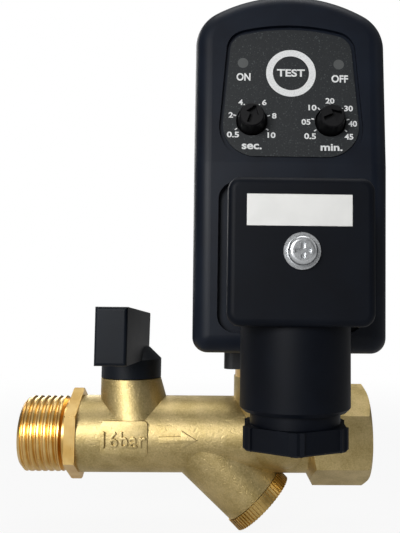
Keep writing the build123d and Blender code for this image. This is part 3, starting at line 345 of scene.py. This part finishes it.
def axisOf(spot, number):
    return spot.node("SeparateXYZ", None, {"Vector": spot}, output=number)


def castBrass(spot):
    tone = noise(spot, 6, 3)
    grain = noise(spot, 0.45, 4, 0.62)
    pits = noise(spot, 0.9, 2).rise(0.58, 0.72)
    mottle = (tone * 0.5 + grain * 0.5).rise(0.3, 0.7)
    height = grain * 0.8 - pits * 0.5
    return {
        "Base Color": mottle.blend((0.41, 0.31, 0.12), (0.67, 0.53, 0.265)),
        "Roughness": 0.36 + grain * 0.22,
        "Normal": bump(height, 0.07),
    }


def turnedBrass(spot):
    tone = noise(spot, 5, 2)
    # fine rings about the pipe axis
    stretched = spot.node("Mapping", None, {"Vector": spot, "Scale": (3, 0.25, 0.25)})
    lines = noise(stretched, 1)
    return {
        "Base Color": tone.rise(0.3, 0.7).blend((0.70, 0.43, 0.13), (0.86, 0.60, 0.24)),
        "Roughness": 0.24 + lines * 0.12,
        "Normal": bump(lines, 0.003),
    }


def capBrass(spot):
    tone = noise(spot, 4, 2)
    grain = noise(spot, 0.4, 3)
    return {
        "Base Color": tone.rise(0.3, 0.7).blend((0.52, 0.34, 0.10), (0.72, 0.50, 0.18)),
        "Roughness": 0.26 + grain * 0.18,
        "Normal": bump(grain, 0.008),
    }


def metal(light, rough):
    def pattern(spot):
        grain = noise(spot, 0.5, 3)
        stain = noise(spot, 3, 2)
        return {
            "Base Color": stain.rise(0.3, 0.7).blend(tuple(0.86 * c for c in light), light),
            "Roughness": rough + grain * 0.12,
            "Normal": bump(grain, 0.004),
        }
    return pattern


def plastic(dark, light, rough, grainSize, grainDepth):
    def pattern(spot):
        grain = noise(spot, grainSize, 2)
        cloud = noise(spot, 11, 2)
        return {
            "Base Color": cloud.rise(0.3, 0.7).blend(dark, light),
            "Roughness": rough + grain * 0.12 + cloud * 0.06,
            "Normal": bump(grain, grainDepth),
        }
    return pattern


def labelFilm(spot):
    grain = noise(spot, 0.22, 3, 0.6)
    speck = noise(spot, 0.35, 1).rise(0.62, 0.74)
    sparkle = (grain * 0.6 + speck * 0.55).rise(0.2, 0.95)
    return {
        "Base Color": sparkle.blend((0.008, 0.010, 0.012), (0.058, 0.067, 0.070)),
        "Roughness": 0.5 + grain * 0.2,
        "Normal": bump(grain, 0.012),
    }


def printWhite(spot):
    wear = noise(spot, 0.25, 2)
    return {
        "Base Color": wear.rise(0.25, 0.6).blend((0.60, 0.61, 0.61), (0.78, 0.79, 0.79)),
        "Roughness": 0.5 + wear * 0.1,
    }


def plateWhite(spot):
    cloud = noise(spot, 4, 2)
    return {
        "Base Color": cloud.rise(0.3, 0.7).blend((0.77, 0.77, 0.75), (0.81, 0.81, 0.79)),
        "Roughness": 0.42 + cloud * 0.08,
    }


def solid(shine=0.5):
    return {"Specular IOR Level": shine}


pure = {"Metallic": 1.0}
recipes = {
    "castBrass": (castBrass, pure),
    "turnedBrass": (turnedBrass, pure),
    "capBrass": (capBrass, pure),
    "chromedBrass": (metal((0.80, 0.80, 0.82), 0.08), pure),
    "brightSteel": (metal((0.62, 0.62, 0.63), 0.25), pure),
    "zincSteel": (metal((0.72, 0.74, 0.76), 0.22), pure),
    "copperWire": (metal((0.72, 0.36, 0.20), 0.3), pure),
    "tinnedBrass": (metal((0.75, 0.70, 0.56), 0.3), pure),
    "casePlastic": (
        plastic((0.0018, 0.0038, 0.0095), (0.0032, 0.0065, 0.014), 0.36, 0.3, 0.008), solid(0.2),
    ),
    "connectorPlastic": (
        plastic((0.0012, 0.0020, 0.0045), (0.0020, 0.0034, 0.0070), 0.42, 0.25, 0.006), solid(0.12),
    ),
    "coilPlastic": (plastic((0.006, 0.006, 0.008), (0.009, 0.009, 0.011), 0.45, 0.4, 0.01), solid(0.4)),
    "leverPlastic": (
        plastic((0.0022, 0.0042, 0.008), (0.0038, 0.0068, 0.012), 0.38, 0.3, 0.006), solid(0.2),
    ),
    "dialPlastic": (
        plastic((0.0015, 0.0015, 0.002), (0.003, 0.003, 0.004), 0.42, 0.25, 0.004), solid(0.2),
    ),
    "labelFilm": (labelFilm, solid(0.35)),
    "lampWindow": (plastic((0.055, 0.06, 0.06), (0.075, 0.08, 0.08), 0.45, 0.3, 0.004), solid()),
    "printWhite": (printWhite, solid(0.3)),
    "plateWhite": (plateWhite, solid(0.4)),
    "blackRubber": (plastic((0.012, 0.012, 0.012), (0.02, 0.02, 0.02), 0.6, 0.3, 0.01), solid()),
    "sealWhite": (plastic((0.72, 0.72, 0.69), (0.80, 0.80, 0.77), 0.35, 0.5, 0.004), solid()),
    "naturalNylon": (plastic((0.60, 0.58, 0.50), (0.70, 0.67, 0.58), 0.4, 0.4, 0.006), solid()),
    "boardGreen": (plastic((0.010, 0.085, 0.035), (0.018, 0.12, 0.05), 0.3, 0.5, 0.006), solid()),
    "componentBlue": (plastic((0.025, 0.04, 0.10), (0.035, 0.055, 0.13), 0.3, 0.4, 0.004), solid()),
}
finishes = {name: makeFinish(name, *recipe) for name, recipe in recipes.items()}

nodeFinishes = {
    "castBrass": ["valve_body"],
    "turnedBrass": ["inlet_nipple", "stem", "armature_tube"],
    "capBrass": ["strainer_cap"],
    "chromedBrass": ["ball"],
    "brightSteel": ["strainer_screen", "plunger", "plunger_spring", "fixed_core", "coil_yoke"],
    "zincSteel": [
        "handle_screw", "coil_washer", "coil_nut", "timer_back_screws", "connector_washer", "connector_screw",
    ],
    "copperWire": ["shading_ring", "coil_winding"],
    "tinnedBrass": ["coil_blades", "timer_blades", "connector_contacts"],
    "casePlastic": ["timer_case", "timer_back"],
    "connectorPlastic": ["connector_housing", "gland_nut"],
    "coilPlastic": ["coil_housing"],
    "leverPlastic": ["handle"],
    "dialPlastic": ["sec_knob", "min_knob"],
    "labelFilm": ["panel_label", "test_button"],
    "lampWindow": ["on_lamp", "off_lamp"],
    "blackRubber": [
        "stem_orings", "cap_oring", "bonnet_oring", "plunger_seal",
        "coil_gasket", "connector_gasket", "gland_seal",
    ],
    "sealWhite": ["ball_seats"],
    "naturalNylon": ["coil_bobbin", "terminal_block", "gland_ring"],
    "boardGreen": ["circuit_board"],
    "componentBlue": ["board_components", "sec_potentiometer", "min_potentiometer", "test_switch"],
}
for finish, nodes in nodeFinishes.items():
    for node in nodes:
        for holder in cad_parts[node].material_slots:
            holder.material = finishes[finish]
print("finishes assigned")


nipple = {
    "end": -13.15,
    "crest": 10.4775,
    "chamfer": 1.2,
    "bore": 5.5,
    "mouth": 0.6,           # chamfer of the bore
    "neckLength": 1.1,      # plain run between the thread and the flange
    "neck": 9.3,
    "runOut": 0.6,          # slope from the crest down to the neck
    "flangeEnd": 3.05,
    "flangeAcross": 22.2,
    "flangeTurned": 12.6,   # radius that the corners are turned down to
    "flangeBevel": 0.5,
    "flangeSlope": 0.9,     # the turned corner rises this much beyond its bevel
    "flangeRise": 0.6,      # how far the turning's outline passes the corner radius
    "spigotEnd": 8.8,
    "spigot": 8.4,
    "overlap": 0.3,         # how far the joined parts run into each other
    "edge": 0.12,           # broken edges
}
thread = {
    "pitch": 1.814,
    "root": 9.85,
    "turns": 10,
    "lead": 1.5,            # turns wound before the pipe's end, which are cut off
    "spare": 0.3,           # left beyond the pipe's end
    "stop": 0.4,
    # shares of the pitch and of the depth
    "tooth": [
        (0.00, 0.0), (0.08, 0.05), (0.30, 0.88), (0.38, 1.0),
        (0.62, 1.0), (0.70, 0.88), (0.92, 0.05), (1.00, 0.0),
    ],
}


def threadRoll(end, crest, size):
    # one pitch of the thread's outline, wound along the pipe axis
    pitch, root = size["pitch"], size["root"]
    start = end - size["lead"] * pitch
    roll = drawLine("nippleThread", [
        (start + along * pitch, 0, root + up * (crest - root)) for along, up in size["tooth"]
    ])
    wind(roll, "X", pitch, size["turns"], 72)
    clean(roll)
    cutFlat(roll, end - size["spare"], True)
    cutFlat(roll, size["stop"], False)
    return clean(roll)


def cutFlat(piece, x, keepAbove):
    # cuts the piece square to the pipe axis and closes the cut
    edit(piece, everything=True)
    bpy.ops.mesh.bisect(
        plane_co=(x * mm, 0, 0), plane_no=(1, 0, 0), use_fill=True,
        clear_inner=keepAbove, clear_outer=not keepAbove,
    )
    leave()
    return piece


def makeNipple(size, threadSize):
    roll = threadRoll(size["end"], size["crest"], threadSize)
    outside = size["crest"] + 0.01
    sleeve = lathe("nippleSleeve", [
        (size["end"], 0, size["bore"] + size["mouth"]),
        (size["end"], 0, size["crest"] - size["chamfer"]),
        (size["end"] + size["chamfer"], 0, outside),
        (-size["neckLength"] - size["runOut"], 0, outside),
        (-size["neckLength"], 0, size["neck"]),
        (size["overlap"], 0, size["neck"]),
        (size["overlap"], 0, size["bore"]),
        (size["end"] + size["mouth"], 0, size["bore"]),
    ], (1, 0, 0), 96)
    combine(sleeve, roll, "INTERSECT")

    thick = size["flangeEnd"]
    bpy.ops.mesh.primitive_cylinder_add(
        vertices=6, radius=size["flangeAcross"] / 2 / cos(radians(30)) * mm,
        depth=thick * mm, location=(thick / 2 * mm, 0, 0), rotation=(0, radians(90), 0),
    )
    flange = place(settle(named("nippleFlange")), turn(30, "X"))
    beyond = 0.5
    high = size["flangeTurned"] + size["flangeRise"]
    low = high - size["flangeSlope"] - size["flangeBevel"]
    turning = lathe("flangeTurning", [
        (-beyond, 0, size["bore"]),
        (-beyond, 0, low),
        (size["flangeBevel"], 0, high),
        (thick - size["flangeBevel"], 0, high),
        (thick + beyond, 0, low),
        (thick + beyond, 0, size["bore"]),
    ], (1, 0, 0), 96)
    combine(flange, turning, "INTERSECT")
    combine(flange, sleeve, "UNION")
    spigotStart = thick - 0.2
    spigot = lathe("nippleSpigot", [
        (spigotStart, 0, size["bore"]),
        (spigotStart, 0, size["spigot"]),
        (size["spigotEnd"], 0, size["spigot"]),
        (size["spigotEnd"], 0, size["bore"]),
    ], (1, 0, 0), 64)
    combine(flange, spigot, "UNION")
    flange.name = "inletNipple"
    clean(flange)
    bevel(flange, size["edge"], 1, 50)
    smooth(flange, 25)
    return dress(flange, "turnedBrass", "valve")


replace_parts(makeNipple(nipple, thread), "inlet_nipple")
print("nipple threaded")


# the return spring gets shorter as the plunger rises
spring = {
    "across": 58.85,
    "low": 26.0,
    "high": 36.0,
    "coil": 1.95,
    "wire": 0.35,
    "turns": 5,
    "travel": 1.8,          # of the plunger
}


def makeSpring(size):
    # a wire's round section wound about the coil's axis, with both ends closed
    height = size["high"] - size["low"] - 2 * size["wire"]
    bpy.ops.mesh.primitive_circle_add(
        vertices=12, radius=size["wire"] * mm,
        location=(size["coil"] * mm, 0, 0), rotation=(radians(90), 0, 0),
    )
    wire = settle(named("returnSpring"))
    wind(wire, "Z", height / size["turns"], size["turns"], 36)
    place(wire, shift(size["across"], 0, size["low"] + size["wire"]))
    edit(wire, everything=True)
    bpy.ops.mesh.fill_holes(sides=0)
    leave()
    clean(wire)
    smooth(wire, 60)
    return dress(wire, "brightSteel", "valve")


returnSpring = makeSpring(spring)
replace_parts(returnSpring, "plunger_spring")
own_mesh(returnSpring)
print("spring wound")


# distances in front of the pipe's axis
castMarks = {
    "sunk": 10.1,           # where the marks start, inside the casting's wall
    "dome": 22.0,           # the pad's face is flatter than the pipe
    "padFront": 11.2,
    "wordFront": 11.9,
    "arrowFront": 11.6,
    "bevels": {"pad": 0.35, "word": 0.16, "arrow": 0.3},
    "pad": {"left": 9.95, "right": 22.65, "low": -4.3, "high": 5.2, "corner": 1.2},
    "word": {"letters": "16bar", "left": 10.55, "right": 22.35, "low": -1.9, "high": 2.55},
    "arrow": [
        (25.9, 1.15), (31.85, 1.25), (31.9, 2.75), (36.1, 0.3), (32.1, -1.75), (31.9, -0.6), (25.8, -0.45),
    ],
}
padLetters = {
    "size": 5 * mm, "extrude": 4 * mm, "offset": 0.05 * mm, "space_character": 1.1, "resolution_u": 3,
}


def roundBar(name, radius, front):
    # a long bar along the pipe, with its nearest line at this distance in front of the pipe's axis
    back = radius - front
    core, left, right = 0.01, -5, 60
    return lathe(name, [
        (left, back, core), (left, back, radius), (right, back, radius), (right, back, core),
    ], (1, 0, 0), 192, (0, back, 0))


def trim(piece, radius, front, sunk):
    # cuts a block in front of the pipe to a skin that follows a bar of this radius
    combine(piece, roundBar("frontBar", radius, front), "INTERSECT", islands=True)
    return combine(piece, roundBar("innerBar", sunk, sunk), "DIFFERENCE", islands=True)


def block(name, outline, front=-13, depth=8):
    # a block in front of the pipe with this outline in x and z
    piece = drawLine(name, [(x, front, z) for x, z in outline], closed=True)
    clean(piece)
    edit(piece, "VERT", everything=True)
    bpy.ops.mesh.edge_face_add()
    bpy.ops.mesh.extrude_region_move(TRANSFORM_OT_translate={"value": (0, depth * mm, 0)})
    leave()
    return clean(piece)


def roundedOutline(left, right, low, high, corner, steps=6):
    points = []
    for x, z, start in (
        (right - corner, low + corner, -90), (right - corner, high - corner, 0),
        (left + corner, high - corner, 90), (left + corner, low + corner, 180),
    ):
        for step in range(steps + 1):
            angle = radians(start + 90 * step / steps)
            points.append((x + corner * cos(angle), z + corner * sin(angle)))
    return points


def raisedWord(size):
    width, height = size["right"] - size["left"], size["high"] - size["low"]
    word = setWord("padLetters", size["letters"], padLetters, width, height)
    place(word, shift(size["left"] + width / 2, -12.5, size["low"] + height / 2) @ turn(90, "X"))
    return clean(word)


def makeCastMarks(marks):
    pad = block("padField", roundedOutline(**marks["pad"]))
    trim(pad, marks["dome"], marks["padFront"], marks["sunk"])
    word = raisedWord(marks["word"])
    trim(word, marks["dome"], marks["wordFront"], marks["sunk"])
    arrow = block("flowArrow", marks["arrow"])
    trim(arrow, marks["arrowFront"], marks["arrowFront"], marks["sunk"])
    for piece, part in ((pad, "pad"), (word, "word"), (arrow, "arrow")):
        clean(piece)
        bevel(piece, marks["bevels"][part], 3, 40)
        smooth(piece, 45)
    marked = join("castMarks", [pad, arrow, word])
    return dress(marked, "castBrass", "valve")


makeCastMarks(castMarks)
print("cast marks made")


# the bare plate on the plug
plate = {
    "left": 48.45,
    "right": 68.35,
    "low": 52.5,
    "high": 58.5,
    "front": -74.0,
    "thickness": 0.25,
    "sunk": 0.1,
    "rim": 0.2,
    "swell": 0.02,          # how far the face stands out inside its rim
    "bevel": 0.06,
}


def makePlate(size):
    width = size["right"] - size["left"]
    height = size["high"] - size["low"]
    bpy.ops.mesh.primitive_cube_add(size=mm, location=(
        (size["left"] + size["right"]) / 2 * mm,
        (size["front"] - size["thickness"] / 2 + size["sunk"] / 2) * mm,
        (size["low"] + size["high"]) / 2 * mm,
    ), scale=(width, size["thickness"] + size["sunk"], height))
    piece = settle(named("plugPlate"))
    choose(piece, lambda centre, normal: normal.y < -0.9)
    bpy.ops.mesh.inset(thickness=size["rim"] * mm)
    bpy.ops.transform.translate(value=(0, -size["swell"] * mm, 0))
    leave()
    bevel(piece, size["bevel"], 2)
    smooth(piece)
    return dress(piece, "plateWhite", "valve")


makePlate(plate)
print("plate made")


# the print on the control panel: across from its middle line, up from its foot
panel = {
    "foot": (58.85, -46.5, 70.0),
    "slope": 6.2,
    "film": -0.6,           # height of the printed film over the case's face
    "ink": 0.05,
}
tilt = radians(panel["slope"])
panelPlace = shift(*panel["foot"]) @ Matrix((
    (1, 0, 0, 0),
    (0, sin(tilt), -cos(tilt), 0),
    (0, cos(tilt), sin(tilt), 0),
    (0, 0, 0, 1),
))

panelWords = [
    # words, centre across and up, width, height
    ("ON", -11.20, 21.13, 3.30, 1.94),
    ("OFF", 11.55, 21.02, 3.95, 1.90),
    ("0.5", -13.52, 6.84, 2.85, 1.40),
    ("2", -14.07, 11.62, 1.05, 1.37),
    ("4", -11.82, 14.79, 1.05, 1.37),
    ("6", -6.27, 14.83, 1.05, 1.37),
    ("8", -3.93, 11.55, 1.07, 1.37),
    ("10", -4.56, 6.82, 1.85, 1.37),
    ("sec.", -9.12, 4.00, 4.65, 1.36),
    ("0.5", 4.41, 6.71, 2.75, 1.42),
    ("05", 3.48, 10.18, 2.10, 1.40),
    ("10", 5.02, 13.73, 1.90, 1.40),
    ("20", 9.16, 15.48, 2.08, 1.38),
    ("30", 13.49, 13.65, 2.05, 1.40),
    ("40", 14.40, 9.90, 2.03, 1.42),
    ("45", 13.46, 6.70, 2.03, 1.42),
    ("min.", 9.38, 4.05, 5.10, 1.72),
]
testWord = ("TEST", 0, 22.32, 6.60, 1.90)
testRing = {"up": 22.25, "inner": 4.27, "outer": 5.87}
lampWindows = {"across": (-11.35, 11.35), "up": 24.65, "radius": 1.25}
ticks = {
    "up": 10.28,
    "start": 3.85,          # from the dial's centre
    "length": 0.65,
    "width": 0.28,
    "bevel": 0.015,
    # dial centre across, angles clockwise from up
    "dials": [
        (-9.2, (-120, -72, -24, 24, 72, 120)),
        (9.2, (-121, -81, -40, 0, 40, 81, 121)),
    ],
}


def writeWord(words, across, up, width, height):
    letters = {
        "size": 1.4 * height * mm, "offset": 0.04 * height * mm,
        "extrude": panel["ink"] / 2 * mm, "resolution_u": 4,
    }
    piece = setWord("word" + words, words, letters, width, height)
    place(piece, panelPlace @ shift(across, up, panel["film"]))
    return clean(piece)


def drawTick(size, across, angle):
    bpy.ops.mesh.primitive_cube_add(
        size=mm, location=(0, (size["start"] + size["length"] / 2) * mm, 0),
        scale=(size["width"], size["length"], panel["ink"]),
    )
    piece = settle(named("tick"))
    bevel(piece, size["bevel"], 1)
    return place(piece, panelPlace @ shift(across, size["up"], panel["film"]) @ turn(-angle, "Z"))


def makePrint():
    pieces = [writeWord(*word) for word in panelWords]
    pieces += [drawTick(ticks, across, angle) for across, angles in ticks["dials"] for angle in angles]
    low, high = panel["film"] - panel["ink"] / 2, panel["film"] + panel["ink"] / 2
    ring = lathe("testRing", [
        (testRing["inner"], 0, low), (testRing["outer"], 0, low),
        (testRing["outer"], 0, high), (testRing["inner"], 0, high),
    ], (0, 0, 1), 96)
    pieces.append(place(ring, panelPlace @ shift(0, testRing["up"], 0)))
    dress(join("panelPrint", pieces), "printWhite", "valve")
    core, radius = 0.01, lampWindows["radius"]
    windows = []
    for across in lampWindows["across"]:
        window = lathe("window", [
            (core, 0, low), (radius, 0, low), (radius, 0, panel["film"]), (core, 0, high),
        ], (0, 0, 1), 48)
        windows.append(place(window, panelPlace @ shift(across, lampWindows["up"], 0)))
    dress(join("lampWindows", windows), "lampWindow", "valve")
    dress(join("testWord", [writeWord(*testWord)]), "printWhite", "test_key")


makePrint()
print("panel printed")


def rays(tree):
    # camera, glossy and transmission rays
    return [Flow(tree).node("LightPath", output=number) for number in (0, 3, 6)]


floor = {
    "size": 6.0,
    "drop": 0.2,
    "middle": (45, 0),
    "shadowRoom": (150, 420),   # the floor turns from nearly white to white between these radii
    "grey": 0.55,
    "mirrored": 0.2,        # how white metal and plastic see it
    "nearShare": 0.91,
}
bpy.ops.mesh.primitive_grid_add(
    x_subdivisions=2, y_subdivisions=2, size=floor["size"],
    location=(0, 0, cadBox[0][2] - floor["drop"] * mm),
)
ground = settle(named("floor"))
white = bpy.data.materials.new("floorWhite")
white.use_nodes = True
tree = white.node_tree
seen, glossy, through = rays(tree)
spot = objectPoint(tree)
aside, behind = (axisOf(spot, number) - floor["middle"][number] for number in (0, 1))
away = (aside * aside + behind * behind).math("SQRT").rise(*floor["shadowRoom"])
plain = Flow(tree).node("BsdfDiffuse", None, {"Color": (floor["grey"], floor["grey"], floor["grey"], 1)})
bright = Flow(tree).node("Emission", None, {"Color": (1, 1, 1, 1), "Strength": 1.0})
show = seen.math("ADD", through).math("ADD", glossy * floor["mirrored"]).math("MINIMUM", 1.0)
share = show * (floor["nearShare"] + away * (1 - floor["nearShare"]))
mixed = Flow(tree).node("MixShader", None, {0: share, 1: plain, 2: bright})
tree.links.new(mixed.socket, tree.nodes["Material Output"].inputs["Surface"])
ground.data.materials.append(white)

# strengths of the surroundings: on the object, and as it is mirrored low down and more overhead
studio = {"plain": 0.09, "mirroredLow": 0.04, "mirroredRise": 0.22, "heights": (0.1, 0.9)}
world = bpy.data.worlds.new("studio")
bpy.context.scene.world = world
world.use_nodes = True
tree = world.node_tree
seen, glossy, through = rays(tree)
overhead = axisOf(Flow(tree).node("TexCoord"), 2).rise(*studio["heights"])
mirrored = glossy * (studio["mirroredLow"] + overhead * studio["mirroredRise"])
show = seen.math("ADD", through).math("ADD", mirrored).math("MINIMUM", 1.0)
strength = studio["plain"] + show * (1 - studio["plain"])
tree.nodes["Background"].inputs["Color"].default_value = (1, 1, 1, 1)
tree.links.new(strength.socket, tree.nodes["Background"].inputs["Strength"])
print("stage set")
